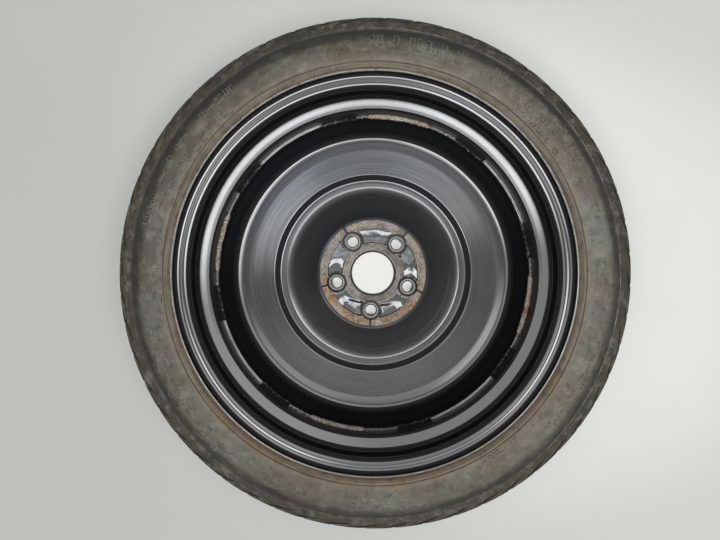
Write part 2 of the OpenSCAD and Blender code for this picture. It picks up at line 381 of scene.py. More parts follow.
def makeDiscPaint():
    # edge is both the sheared edge's steel and the crest's painted highlight
    look = {"black": (0.008, 0.0085, 0.0095), "dust": (0.14, 0.137, 0.128), "dustWithBlueReflection": (0.10, 0.12, 0.145),
            "contact": (0.345, 0.316, 0.27), "stain": (0.10, 0.085, 0.07), "rust": (0.42, 0.23, 0.09),
            "darkRust": (0.16, 0.085, 0.045), "scrap": (0.66, 0.62, 0.54), "edge": (0.58, 0.58, 0.56),
            "worn": (0.30, 0.29, 0.27), "ring": (0.024, 0.024, 0.025), "scale": (0.03, 0.028, 0.025),
            "sheared": (0.20, 0.20, 0.195)}
    f = Finish("discPaint", Specular_IOR_Level=0.12, Coat_Roughness=0.09, Coat_IOR=2.25)

    # Dust on the level parts, thin in three sectors and thick in two; these sector swaths are also painted
    # reflections, lighter in the north-east and north-west
    patches = f.noise(9, 4, 0.55)
    streaks = f.ringNoise(2.2, 0.8, detail=5)
    radial = f.ringNoise(30, 0.02, detail=3, rough=0.5)
    specks = f.smooth(f.noise(1100, 2, 0.5), 0.72, 0.8)
    level = f.smooth(f.facingUp(), 0.962, 0.996)
    dust = f.smooth(patches * 0.45 + streaks * 0.35 + radial * 0.2, 0.34, 0.64) * 0.3 + 0.08
    for centre, half, less in ((0, 12, 0.55), (180, 12, 0.45), (325, 14, 0.4)):
        dust = dust * (1.0 - less * f.sector(centre, half, 16))
    dust = dust + f.sector(140, 22, 22) * 0.26 + f.sector(48, 20, 24) * 0.15 + specks * 0.25
    dust = dust * (0.05 + level * 0.95)
    dust = dust * (0.55 + 0.9 * f.smooth(f.ringNoise(1.6, 0.9, rough=0.7), 0.36, 0.64))
    dust = dust * f.smooth(f.radius, 196, 193)
    # The dust turns blue in the north: a painted reflection of the sky
    colour = f.mix(dust, look["black"], f.mix(f.sector(105, 40, 40), look["dust"], look["dustWithBlueReflection"]))
    # A lighter grey ring on the cone; its fading in the north and south-east is painted shade
    coneRing = f.smooth(f.radius, 93, 99) * f.smooth(f.radius, 118, 114)
    coneRing = coneRing * (0.45 - 0.32 * f.sector(295, 60, 30) - 0.28 * f.sector(112, 45, 25))
    colour = f.mix(coneRing, colour, look["ring"])
    # A pale line on the crest, strongest in the north: painted highlight, and rubbed paint
    crest = f.band(f.radius, 116, 117.6, 0.8) * (0.05 + f.sector(90, 62, 25) * 0.6)
    colour = f.mix(crest * (0.6 + streaks * 0.6), colour, look["edge"])

    # The dull contact face: worn steel with stains and rust, black where nothing touched it
    padOn = f.smooth(f.radius, 71.6, 70.4)
    contact = padOn * f.smooth(f.height, -0.75, -0.35)
    grain, fine = f.noise(60, 5, 0.7), f.noise(330, 4, 0.7)
    worn = f.smooth(grain * 0.6 + fine * 0.4, 0.36, 0.6)
    contactColour = f.mix(worn, look["stain"], look["contact"])
    aside, fromNut = fromNearestNut(f)
    collar = f.band(fromNut, 8.6, 10.1, 0.3) * contact
    moat = f.band(fromNut, 10.7, 13.0, 0.4) * padOn
    contactColour = f.mix(collar * f.smooth(fine, 0.3, 0.6), contactColour, look["worn"])
    heavy = f.sector(238, 52, 14) + f.sector(318, 22, 10)
    heavy = heavy + f.sector(118, 10, 8) * 0.5 + f.sector(20, 14, 10) * 0.4
    outerRing = f.smooth(f.radius, 60, 62.5)
    rust = f.smooth(f.noise(75, 5, 0.65), 0.36, 0.56) * (heavy * outerRing * 0.8 + 0.06) * (1.0 - collar)
    flakes = f.smooth(f.noise(240, 4, 0.7), 0.4, 0.62)
    contactColour = f.mix(rust, contactColour, f.mix(flakes, look["darkRust"], look["rust"]))
    pressedLine = f.band(f.radius, 62.2, 62.9, 0.3) + f.band(f.radius, 37.6, 38.3, 0.3)
    pressedLine = pressedLine + f.band(f.radius, 33.6, 34, 0.3) * 0.5
    innerStain = f.sector(42, 20, 12) + f.sector(270, 22, 12) + f.sector(318, 8, 8) * 0.6
    innerStain = f.smooth(f.radius, 39.5, 38.5) * innerStain
    contactColour = f.mix((pressedLine + innerStain * 0.8) * 0.75, contactColour, look["stain"])
    slit = f.smooth(aside.maths("ABSOLUTE"), 2.1, 1.5) * f.smooth(f.radius, 61, 62) * padOn
    untouched = f.band(f.radius, 27, 31, 0.6) + f.smooth(fromNut, 8.5, 8.2) + slit
    contactColour = f.mix(untouched, contactColour, look["black"])
    colour = f.mix(contact, colour, contactColour)

    # The sheared edge, clean on four spans and scaly between them, with shreds in its notches
    top = f.smooth(f.height, 46.0, 46.6) * f.smooth(f.radius, 195.0, 195.3)
    notch = f.smooth(f.radius, 194.4, 194.9) * f.smooth(f.height, 45.6, 45.2)
    clean = f.sector(32.2, 12.4, 0.8) + f.sector(122.6, 12.2, 0.8)
    clean = clean + f.sector(211, 13.4, 0.8) + f.sector(305.2, 13, 0.8)
    scraps = f.smooth(f.ringNoise(150, 1.2, detail=5, rough=0.75), 0.5, 0.6)
    edgeColour = f.mix(scraps, look["scale"], look["scrap"])
    lined = f.smooth(f.ringNoise(14, 0.9), 0.3, 0.62)
    edgeColour = f.mix(clean, edgeColour, f.mix(lined, look["sheared"], look["edge"]))
    colour = f.mix(top, colour, edgeColour)
    shreds = f.smooth(f.ringNoise(55, 1.4, rough=0.7), 0.56, 0.63) * f.smooth(f.facingUp(), 0.5, 0.8)
    colour = f.mix(notch * shreds * 0.6, colour, look["scrap"])

    # Roughness, and the coat that gives the paint its gloss
    bare = contact * (1.0 - untouched)
    rough = 0.32 + dust * 0.5 + streaks * 0.06
    rough = rough + bare * (0.55 - rough)
    gloss = 0.08 + f.smooth(f.facingUp().maths("ABSOLUTE"), 0.3, 0.7) * 0.92
    gloss = gloss * (1.0 - notch * 0.96) * (1.0 - moat * 0.8) * (1.0 - slit * 0.9)
    floorZone = f.smooth(f.radius, 126, 129) * f.smooth(f.radius, 190, 184)
    brushed = f.smooth(f.ringNoise(1.3, 0.55, rough=0.75), 0.36, 0.64)
    gloss = gloss * (1.0 - floorZone * (1.0 - brushed) * (0.22 + 0.2 * f.sector(120, 70, 40)))
    coneShade = 0.5 + 0.22 * f.sector(295, 60, 30) + 0.14 * f.sector(125, 60, 30)
    gloss = gloss * (1.0 - f.smooth(f.radius, 94, 78) * f.smooth(f.radius, 70, 71.5) * coneShade)
    gloss = gloss * (1.0 - f.band(f.radius, 70.5, 75.5, 0.6) * (0.6 + 0.3 * f.sector(60, 110, 30)))
    f.feed(Base_Color=colour, Roughness=rough, Coat_Weight=gloss * (1.0 - bare * 0.85) * (1.0 - dust * 0.6))
    relief = f.ringNoise(7, 0.35, rough=0.5) * 0.9 + f.noise(300, 3, 0.6) * 0.12
    f.bump(relief + bare * fine * 0.9 + rust * 0.6, 0.16, 0.2)
    return f


def makeWeldMetal():
    look = {"slag": (0.035, 0.028, 0.022), "tan": (0.40, 0.34, 0.25), "bright": (0.78, 0.74, 0.66),
            "rust": (0.20, 0.10, 0.055)}
    f = Finish("weldMetal", Specular_IOR_Level=0.6)
    scales = f.ringNoise(120, 0.9, 0.9, rough=0.7)
    grit = f.noise(600, 4, 0.7)
    colour = f.mix(f.smooth(scales, 0.4, 0.56), look["slag"], look["tan"])
    # Pale flecks: painted glints of the bead's bright metal ridges
    colour = f.mix(f.smooth(grit, 0.5, 0.62), colour, look["bright"])
    rusted = f.smooth(f.noise(90, 4, 0.6), 0.46, 0.62) * (0.3 + f.sector(349, 14, 8) * 0.6)
    colour = f.mix(rusted, colour, look["rust"])
    f.feed(Base_Color=colour, Roughness=0.42 + grit * 0.3)
    f.bump(scales + grit * 0.6, 0.5, 0.4)
    return f


def makeTyreRubber():
    # leaf and dark also paint shade in the slot hollows and the crease, and dust a highlight on the step's
    # crest
    look = {"warm": (0.100, 0.092, 0.066), "cool": (0.158, 0.160, 0.138), "nearRim": (0.265, 0.226, 0.162),
            "outer": (0.034, 0.032, 0.025), "shoulder": (0.046, 0.041, 0.029), "dust": (0.27, 0.258, 0.222),
            "dark": (0.030, 0.028, 0.024), "clay": (0.235, 0.163, 0.096), "leaf": (0.010, 0.010, 0.009),
            "dirt": (0.060, 0.042, 0.026), "brown": (0.094, 0.074, 0.044)}
    f = Finish("tyreRubber", Specular_IOR_Level=0.35)
    cloud, mottle, grain = f.noise(9, 5, 0.6), f.noise(34, 5, 0.65), f.noise(520, 3, 0.6)
    speck, blotch = f.noise(120, 4, 0.7), f.noise(62, 4, 0.7)
    streak = f.ringNoise(5, 0.35)
    radial = f.ringNoise(13, 0.06)
    wave = radial * 12 + cloud * 14 + f.sector(120, 45, 30) * 7 - 8

    # The sidewall's rubber, made lighter towards the east and north-east by sector terms
    cool = f.smooth(cloud * 0.75 + streak * 0.25, 0.46, 0.6)
    cool = cool * (0.5 + f.sector(350, 26, 30) * 0.5 + f.sector(68, 10, 14) * 0.5)
    colour = f.mix(cool, look["warm"], look["cool"])
    colour = f.mix(f.smooth(f.noise(21, 5, 0.6), 0.46, 0.62) * 0.45, colour, look["brown"])
    colour = f.mix(f.smooth(blotch, 0.48, 0.7) * 0.42, colour, look["dust"])
    # The east is made lighter with the dust colour
    colour = f.mix(f.sector(8, 48, 40) * 0.16, colour, look["dust"])
    colour = f.mix(f.smooth(speck, 0.46, 0.32) * 0.55, colour, look["dark"])
    colour = f.mix(f.smooth(radial, 0.44, 0.3) * 0.35, colour, look["dark"])
    colour = f.mix(f.smooth(f.noise(17, 5, 0.7), 0.54, 0.68) * 0.4, colour, look["dark"])

    # Pale dust, clay and dirt next to the rim
    near = f.smooth(f.radius + mottle * 7 + cloud * 6 + streak * 4, 261, 248)
    colour = f.mix(near * (0.4 + 0.5 * f.smooth(streak, 0.4, 0.6)), colour, look["nearRim"])
    clay = near * f.smooth(f.noise(26, 5, 0.7), 0.4, 0.6) * (0.12 + f.sector(280, 50, 30) * 0.72)
    colour = f.mix(clay, colour, look["clay"])
    ribLines = f.smooth(f.ringNoise(1.5, 1.1, detail=2, rough=0.5), 0.5, 0.62) * near
    colour = f.mix(ribLines * 0.5, colour, look["dirt"])
    grime = f.smooth(f.noise(85, 5, 0.75), 0.5, 0.62) * near
    colour = f.mix(grime * 0.45, colour, look["dirt"])
    dirtLine = f.band(f.radius + radial * 0.8, 242.5, 243.5, 0.5) + f.band(f.radius, 239.2, 239.8, 0.5) * 0.6
    colour = f.mix(dirtLine * 0.7, colour, look["dirt"])

    # Darker towards the crease
    outer = f.smooth(f.radius + wave, 275, 285)
    outer = outer * (0.8 + 0.2 * f.sector(130, 70, 30) - 0.4 * f.sector(325, 35, 25))
    colour = f.mix(outer * (0.75 + 0.25 * f.smooth(blotch, 0.6, 0.45)), colour, look["outer"])
    smudge = f.smooth(f.noise(19, 4, 0.65), 0.47, 0.56) * f.band(f.radius + radial * 6, 281, 289, 5)
    colour = f.mix(smudge * 0.75, colour, look["dark"])
    shaded = f.smooth(f.radius + radial * 8 + mottle * 5, 274, 290) * (0.15 + f.sector(15, 62, 35) * 0.45)
    colour = f.mix(shaded, colour, look["dark"])

    # The shoulder beyond the crease, painted shade in the crease and in the hollows of its slot ends, and the
    # tread
    upperSide = f.smooth(f.height - midHeight, -1, 1)
    shoulder = f.smooth(f.radius, 281, 286)
    olive = f.mix(f.smooth(speck, 0.5, 0.66) * 0.34, look["shoulder"], look["dust"])
    olive = f.mix(f.smooth(blotch, 0.48, 0.6) * 0.5, olive, look["brown"])
    colour = f.mix(shoulder * 0.9, colour, f.mix(f.smooth(mottle, 0.5, 0.34) * 0.7, olive, look["dark"]))
    # Painted shade: near-black strokes over the hollows of the slot ends
    across = f.radius - leaf["radius"]
    phase = (f.angle() - leaf["turn"] + across * leaf["slant"]) * (tyre["slots"] / 360)
    phase = phase + 1.0 - upperSide * 0.5
    stroke = f.band(phase.maths("FRACT"), 0.41, 0.58, 0.08) * f.band(across + mottle * 1.5, -1.6, 6, 1.5)
    colour = f.mix(stroke * 0.9, colour, look["leaf"])
    # Painted shade: a dark band in the crease
    crease = f.band(f.radius + radial * 1.5, 282.4, 284.6, 1.2)
    colour = f.mix(crease * 0.6, colour, look["dark"])
    # Painted highlight: a pale line along the crest of the step, strongest towards the east
    crest = f.band(f.radius, 284.7, 285.3, 0.4)
    crest = crest * f.smooth(f.ringNoise(20, 0.2, rough=0.7), 0.42, 0.58)
    colour = f.mix(crest * (0.15 + f.sector(25, 50, 30) * 0.5), colour, look["dust"])
    pale = f.smooth(f.noise(44, 5, 0.7), 0.54, 0.66) * shoulder
    colour = f.mix(pale * 0.3, colour, look["dust"])
    tread = f.smooth(f.radius, 299.5, 301.5)
    colour = f.mix(tread * 0.6, colour, look["dark"])
    specks = f.smooth(f.cells(150), 0.12, 0.05)
    colour = f.mix(specks * f.smooth(mottle, 0.52, 0.6) * 0.5, colour, look["dust"])
    f.feed(Base_Color=colour, Roughness=0.58 + cool * 0.12 + grain * 0.1)
    f.bump(grain * 0.35 + mottle * 0.8 + speck * 0.8 + streak * 0.6 - stroke * 1.5, 0.35, 0.4)
    return f


def makeMarkFlank():
    # The sloping sides of the raised marks, where dirt and pale dust collect
    look = {"dirt": (0.058, 0.054, 0.044), "dust": (0.175, 0.166, 0.138)}
    f = Finish("markFlank", Specular_IOR_Level=0.35)
    dust = f.smooth(f.ringNoise(22, 0.2, detail=3), 0.42, 0.56)
    f.feed(Base_Color=f.mix(dust, look["dirt"], look["dust"]), Roughness=0.6 + dust * 0.2)
    return f


def makeRubber():
    look = {"black": (0.018, 0.018, 0.018), "dust": (0.06, 0.057, 0.05)}
    f = Finish("valveRubber", Specular_IOR_Level=0.4)
    dust = f.smooth(f.noise(300, 4, 0.6), 0.45, 0.7)
    f.feed(Base_Color=f.mix(dust, look["black"], look["dust"]), Roughness=0.55 + f.noise(600) * 0.2)
    f.bump(f.noise(900), 0.15, 0.1)
    return f


def makeBrass():
    look = {"bright": (0.62, 0.42, 0.17), "dull": (0.25, 0.16, 0.07)}
    f = Finish("brass", Metallic=1.0)
    stain = f.smooth(f.noise(500, 4, 0.6), 0.42, 0.68)
    f.feed(Base_Color=f.mix(stain, look["bright"], look["dull"]), Roughness=0.28 + stain * 0.3)
    f.bump(f.noise(1500, 2), 0.08, 0.05)
    return f


def makeGasket():
    look = {"red": (0.42, 0.05, 0.03), "darkRed": (0.28, 0.04, 0.03)}
    f = Finish("redGasket", Specular_IOR_Level=0.4)
    f.feed(Base_Color=f.mix(f.noise(700), look["red"], look["darkRed"]), Roughness=0.5 + f.noise(900) * 0.1)
    return f


def makeSpringSteel():
    look = {"bright": (0.5, 0.5, 0.5), "dull": (0.32, 0.31, 0.3)}
    f = Finish("springSteel", Metallic=1.0)
    f.feed(Base_Color=f.mix(f.noise(900), look["bright"], look["dull"]),
           Roughness=0.25 + f.noise(1200) * 0.15)
    return f


def makeCapPlastic():
    look = {"black": (0.012, 0.012, 0.013), "dust": (0.07, 0.066, 0.058)}
    f = Finish("capPlastic", Specular_IOR_Level=0.5)
    dust = f.smooth(f.noise(260, 4, 0.6), 0.5, 0.7)
    f.feed(Base_Color=f.mix(dust, look["black"], look["dust"]), Roughness=0.38 + f.noise(700) * 0.2)
    f.bump(f.noise(1100, 2), 0.1, 0.05)
    return f


# Camera

camera = {"place": (-0.0075, 0.0085, 0.727), "tilt": (-0.36, 0.766, 0), "lens": 27.05, "sensor": 36}
view = bpy.data.cameras.new("camera")
view.lens, view.sensor_width = camera["lens"], camera["sensor"]
eye = bpy.data.objects.new("camera", view)
bpy.context.scene.collection.objects.link(eye)
eye.location = camera["place"]
eye.rotation_euler = [math.radians(a) for a in camera["tilt"]]
bpy.context.scene.camera = eye

# Floor, and a room that lights the wheel softly from above, brightest towards the south

# The floor's left, right and corner tones, its near white under the hub, and its seen and bore glows are
# painted light
stage = {"size": 16, "left": (0.465, 0.465, 0.432), "right": (0.705, 0.705, 0.655),
         "corner": (0.46, 0.46, 0.422), "cloud": (0.55, 0.55, 0.53), "paintedLightUnderHub": (0.95, 0.94, 0.91),
         "seen": (0.48, 0.475, 0.46), "bore": (0.82, 0.815, 0.775)}
room = {"base": 0.09, "south": 5.3, "north": 1.15, "northEast": 0.5, "overhead": 0.25, "overNorth": 0.75,
        "overNorthWest": 1.6, "overNorthEast": 0.65, "overSouth": 0.3, "backdrop": 0.72,
        "tint": (0.97, 0.985, 1.0, 1)}


def makeFloor():
    mesh = bmesh.new()
    bmesh.ops.create_grid(mesh, x_segments=2, y_segments=2, size=stage["size"] / 2)
    bmesh.ops.translate(mesh, verts=mesh.verts[:], vec=(0, 0, floorHeight * mm))
    floor = loose(mesh, "floor")
    f = Finish("floorPaint", Roughness=0.55, Specular_IOR_Level=0.3, Emission_Strength=1.0)
    across, up = f.apart(f.place)[:2]
    # Painted light: the floor is lighter towards the east and darker in the corners
    colour = f.mix(f.smooth(across + up * 0.3, -0.46, 0.42), stage["left"], stage["right"])
    colour = f.mix(f.smooth(up * up * 1.6 + across * across * 0.5, 0.10, 0.28) * 0.5, colour, stage["corner"])
    # Painted light: the floor under the hub is near white, against the wheel's shadow
    colour = f.mix(f.smooth(f.radius, 75, 66), colour, stage["paintedLightUnderHub"])
    colour = f.mix(f.smooth(f.noise(5), 0.4, 0.7) * 0.1, colour, stage["cloud"])
    # Painted light: under the bore and the nut holes the floor glows for the camera, black beneath the glow
    # in the bore, so that it shows evenly pale there, though they let in little light of their own
    seen = f.node("ShaderNodeLightPath", output=0)
    inBore, holes = seen * f.smooth(f.radius, 36, 34), seen * f.band(f.radius, 40, 54.5, 3)
    shine = f.mix(holes, f.mix(inBore, (0, 0, 0), stage["bore"]), stage["seen"])
    f.feed(Base_Color=f.mix(inBore, colour, (0, 0, 0)), Emission_Color=shine)
    dress(floor, f)


def makeRoom():
    world = bpy.data.worlds.new("room")
    bpy.context.scene.world = world
    world.use_nodes = True
    g = Graph(world.node_tree)
    east, north, up = g.apart(g.node("ShaderNodeTexCoord"))
    flat = (1.0001 - up * up).maths("SQRT")
    east, north = east / flat, north / flat
    middle = g.smooth(up, 0.75, 0.785) * g.smooth(up, 0.971, 0.957)
    south = g.smooth(east * math.cos(math.radians(280)) + north * math.sin(math.radians(280)), -0.05, 0.4)
    northEast = g.smooth(east * 0.77 + north * 0.64, 0.6, 0.95) * room["northEast"]
    gap = g.smooth(east * 0.26 - north * 0.97, 0.8, 0.97) * g.smooth(up, 0.90, 0.93) * 0.7
    level = middle * (south * (1.0 - gap) * (room["south"] - 1.0 * g.smooth(north, -0.93, -1.0))
                      + (1.0 - south) * (northEast + room["north"]))
    overNorth = g.smooth(north, 0.1, 0.45) * room["overNorth"]
    overNorthWest = g.smooth(north * 0.5 - east * 0.87, 0.8, 0.97) * room["overNorthWest"]
    overNorthEast = g.smooth(north * 0.74 + east * 0.67, 0.85, 0.98) * room["overNorthEast"]
    overSouth = g.smooth(north, -0.4, -0.9) * room["overSouth"]
    overhead = overNorth + overNorthWest + overNorthEast + overSouth + room["overhead"]
    level = level + g.smooth(up, 0.968, 0.978) * overhead
    shell = world.node_tree.nodes["Background"]
    shell.inputs[0].default_value = room["tint"]
    seen = g.node("ShaderNodeLightPath", output=0)  # the camera itself sees a plain pale backdrop
    level = (level + room["base"]) * (1.0 - seen) + seen * room["backdrop"]
    world.node_tree.links.new(level.socket, shell.inputs[1])


makeFloor()
makeRoom()
bpy.context.scene.view_settings.view_transform = "Standard"
print("stage set")

# Valve frame: its own axis points from the rim to the cap

valve = {"radius": 206.8, "depth": 86.9, "tilt": 27, "hole": 5.65, "padRadius": 8.7, "faceRadius": 8.2,
         "backRadius": 9.1}
valvePlace = (Matrix.Translation((valve["radius"] * mm, 0, (hubDepth - valve["depth"]) * mm))
              @ Matrix.Rotation(math.radians(180 + valve["tilt"]), 4, "Y"))

# Rim: one rolled band, with a coined seat round the valve hole

rim = {"wall": 2.4, "width": 101.6, "seatRadius": 218.3, "curl": 9.5, "beadCorner": 6.5, "seatSlope": 5,
       "steps": 320, "arcStep": 5, "lipRound": 0.7}


def edgesRounded(loop, edges, rounding):
    # Gives the corners at a sheet's own edges their rounding
    return [(radius, height, rounding if i in edges else own) for i, (radius, height, own) in enumerate(loop)]


def rimCorners():
    wall, total = rim["wall"], rimTotal
    gap = (total - rim["width"]) / 2
    seat, lip = rim["seatRadius"] - wall, lipRadius - wall
    curl, corner = rim["curl"] - wall, rim["beadCorner"] + wall
    slope = 19.5 * math.tan(math.radians(rim["seatSlope"]))
    path = [(lip, 0, 0), (lip, gap - wall, curl), (seat, gap - wall, corner), (seat - slope, 29.5, 8),
            (wellRadius, 37.1, 3.5), (wellRadius, 80.5, 8), (seat - 2.5, 92, 8),
            (seat, total - gap + wall, corner), (lip, total - gap + wall, curl), (lip, total, 0)]
    return [(radius, hubDepth - depth, rounding) for radius, depth, rounding in path]


def makeRim(finish):
    loop = sheetLoop(rimCorners(), rim["wall"])
    loop = edgesRounded(loop, (0, len(loop) // 2 - 1, len(loop) // 2, len(loop) - 1), rim["lipRound"])
    band = turnedMesh(loop, rim["steps"], rim["arcStep"])
    seat, cuts = bmesh.new(), bmesh.new()
    drum(seat, -rim["wall"], 0, valve["padRadius"], valvePlace)
    band = carve(band, seat, "UNION")
    drum(cuts, -rim["wall"] - 1, 1, valve["hole"], valvePlace)
    drum(cuts, 0, 3, valve["faceRadius"], valvePlace)
    drum(cuts, -rim["wall"] - 3, -rim["wall"], valve["backRadius"], valvePlace)
    band = carve(band, cuts)
    finished("rimBand", band, finish, replaces=["rim"])


# Disc: pressed sheet, its hub pad shaped after the turning

disc = {"wall": 3.2, "edgeDepth": 58.6, "floorDepth": 113.8, "grooveDepth": 120, "boreRadius": 28.05,
        "padRadius": 72.5, "steps": 360, "padRows": 66, "edgeRound": 0.45, "lobes": [32, 122.6, 211, 305.2],
        "notchTurn": 20, "notchWidth": 13, "notchDepth": 6}
pad = {"nuts": 5, "firstNut": 50.7, "nutCircle": 50, "holeRadius": 7, "seatRadius": 9.6, "collarRadius": 10.4,
       "moatRadius": 13.4, "moatDepth": 3, "collarTop": 0, "pocketDepth": 2.5, "landRadius": 13.9,
       "pocketInner": 39.8, "pocketOuter": 60.8, "edge": 1.3, "grooveHalf": 1.0, "grooveDepth": 0.8,
       "waves": [(1.0, 52), (1.8, 14), (1.9, -38), (1.9, -44), (1.5, 0)], "waveStep": 0.14}


def discCorners():
    edge, floor, groove = wellRadius - disc["wall"], disc["floorDepth"], disc["grooveDepth"]
    path = [(edge, disc["edgeDepth"], 0), (edge, 78, 15), (186.5, 109.3, 12), (168, floor, 60),
            (133.6, floor, 4), (126, groove, 4), (117.2, groove + 0.6, 4), (106, groove - 2.8, 60),
            (disc["padRadius"] + 1.5, hubDepth, 6), (disc["boreRadius"], hubDepth, 4),
            (disc["boreRadius"], hubDepth + 9, 0)]
    return [(radius, hubDepth - depth, rounding) for radius, depth, rounding in path]


def padHeight(x, y):
    # Drop of the hub pad's pressed forms below its contact face, in millimetres
    radius, angle = math.hypot(x, y), math.degrees(math.atan2(y, x))
    edge = pad["edge"]
    atNut = [pad["firstNut"] + 72 * i for i in range(pad["nuts"])]
    nearest = min(math.hypot(x - pad["nutCircle"] * math.cos(math.radians(a)),
                             y - pad["nutCircle"] * math.sin(math.radians(a))) for a in atNut)
    middle, width = (pad["pocketInner"] + pad["pocketOuter"]) / 2, pad["pocketOuter"] - pad["pocketInner"]
    across = (radius - middle) / width * 2
    inPocket = (smoothStep(radius, pad["pocketInner"], pad["pocketInner"] + edge)
                * smoothStep(pad["pocketOuter"] - radius, 0, edge)
                * smoothStep(nearest - pad["landRadius"], 0, edge))
    dished = 0.3 + 0.7 * (1 - min(1, across * across))
    ripple = 0.35 * noise(Vector((x, y, 0)) * 0.09) + 0.12 * noise(Vector((x, y, 5)) * 0.22)
    swing, crest = pad["waves"][int((angle - pad["firstNut"]) % 360 // 72)]
    wave = -swing * math.sin((y - crest) * pad["waveStep"])
    drop = inPocket * max(1.0, pad["pocketDepth"] * dished + ripple + wave)
    moat = smoothStep(pad["moatRadius"] - nearest, 0, 0.9) * pad["moatDepth"]
    offNut = math.radians(min(degreesFrom(angle, a) for a in atNut)) * radius
    groove = (smoothStep(pad["grooveHalf"] + 0.6 - offNut, 0, 0.8) * smoothStep(radius, 61, 62.5)
              * pad["grooveDepth"])
    shoulder = 0.35 * smoothStep(31.8 - radius, 0, 0.7)
    return max(drop, moat) + groove + shoulder + 0.05 * noise(Vector((x, y, 9)) * 0.3)


def atNuts(corners, arcStep):
    # A small turned solid, repeated at the places of the nuts
    solid = turnedMesh(corners, 64, arcStep)
    bmesh.ops.translate(solid, verts=solid.verts[:], vec=(pad["nutCircle"] * mm, 0, 0))
    return ringOf(solid, pad["nuts"], pad["firstNut"])


def makeDisc(finish):
    loop = sheetLoop(discCorners(), disc["wall"])
    loop = edgesRounded(loop, (0, len(loop) - 1), disc["edgeRound"])
    sheet = bmesh.new()
    roundedWire(sheet, loop, True, 4)
    flat = [e for e in sheet.edges
            if e.calc_length() > 30 * mm and all(abs(v.co.z) < 0.01 * mm for v in e.verts)]
    bmesh.ops.subdivide_edges(sheet, edges=flat, cuts=disc["padRows"])
    spun(sheet, disc["steps"])
    for point in sheet.verts:
        x, y, z = point.co / mm
        if z > -0.9 and disc["boreRadius"] + 0.9 < math.hypot(x, y) < disc["padRadius"] + 1:
            point.co.z -= padHeight(x, y) * mm
    under, back = -disc["wall"] + 0.5, -disc["wall"] - pad["pocketDepth"]
    backing = turnedMesh([(36, under, 0), (65.5, under, 0), (63, back, 1), (38, back, 1)], 180)
    sheet = carve(sheet, backing, "UNION")
    hole, collar, crest = pad["holeRadius"], pad["collarRadius"], pad["collarTop"]
    collars = atNuts([(hole - 1, -4, 0), (collar + 0.6, -4, 0), (collar, crest, 0.9),
                      (hole - 1, crest, 0)], 4)
    sheet = carve(sheet, collars, "UNION")
    holes = atNuts([(0, 3, 0), (0, -9, 0), (pad["seatRadius"] + 2, -9, 0), (pad["seatRadius"], -6.4, 0),
                    (hole, -3, 0.8), (hole, crest - 0.7, 0.5), (hole + 1.4, crest + 0.4, 0),
                    (hole + 1.4, 3, 0)], 5)
    sheet = carve(sheet, holes)
    edge, top = wellRadius - disc["wall"], hubDepth - disc["edgeDepth"]
    notches = bmesh.new()
    for centre in [lobe + side * disc["notchTurn"] for lobe in disc["lobes"] for side in (-1, 1)]:
        notch = turnedMesh([(edge - 8, top - disc["notchDepth"], 0), (edge + 12, top - disc["notchDepth"], 0),
                            (edge + 12, top + 1, 0), (edge - 8, top + 1, 0)], 12, angle=disc["notchWidth"])
        swing(notch, math.radians(centre - disc["notchWidth"] / 2))
        joined(notches, notch)
    sheet = carve(sheet, notches)
    finished("pressedDisc", sheet, finish, sharp=38, replaces=["disc"])


# Welds: four rough beads between the disc's edge and the well

weld = {"spans": [(69, 23), (157.5, 22), (246, 21), (337.5, 22)], "radius": 3.6, "sides": 20, "step": 0.2,
        "scale": 2.3}


def makeWelds(finish):
    edge, top = wellRadius - disc["wall"], hubDepth - disc["edgeDepth"]
    beads = bmesh.new()
    for start, span in weld["spans"]:
        bead = bmesh.new()
        centre = Vector(((edge + 1.3) * mm, 0, top * mm))
        bmesh.ops.create_circle(bead, cap_ends=True, segments=weld["sides"], radius=weld["radius"] * mm,
                                matrix=Matrix.Translation(centre) @ Matrix.Rotation(math.pi / 2, 4, "X"))
        spinSolid(bead, round(span / weld["step"]), span)
        swing(bead, math.radians(start))
        for point in bead.verts:
            angle = math.degrees(math.atan2(point.co.y, point.co.x)) % 360
            middle = Vector((point.co.x, point.co.y, 0)).normalized() * centre.x + Vector((0, 0, centre.z))
            along = min(degreesFrom(angle, start), degreesFrom(angle, start + span))
            ripple = abs(math.sin(math.radians(angle) * centre.x / mm / weld["scale"] * math.pi / 2
                                  + 0.8 * noise(point.co * 90)))
            rough = 0.78 + 0.14 * ripple + 0.16 * noise(point.co * 160) + 0.12 * noise(point.co * 520)
            size = (0.5 + 0.5 * smoothStep(along, 0, 1.3)) * rough
            point.co = middle + (point.co - middle) * size
        joined(beads, bead)
    finished("weldBeads", beads, finish, sharp=60, replaces=["weld_beads"])


# Tyre: one moulded casing, grooved, with slots across its shoulders and plain relief on its sides

tyre = {"crown": 400, "treadHalf": 45.6, "sideGroove": 22, "grooveDepth": 4.4, "grooveHalf": 3.4,
        "steps": 260, "arcStep": 7, "slots": 52, "rib": 0.5}
slot = {"turn": -4.2, "radius": 302.4, "height": 34, "lean": -40, "size": (6, 5, 34)}
leaf = {"radius": 296.6, "height": 48.4, "slope": -59.5, "lean": 12, "size": (2.5, 13.5, 1.5), "slant": 1.05,
        "turn": 5.4}


def crownAt(side):
    return tyreRadius - side * side / (2 * tyre["crown"])


def treadGroove(side):
    top, floor = crownAt(side), tyreRadius - tyre["grooveDepth"]
    return [(top, side - tyre["grooveHalf"], 0.4), (floor, side - 2.4, 0.6), (floor, side + 2.4, 0.6),
            (top, side + tyre["grooveHalf"], 0.4)]


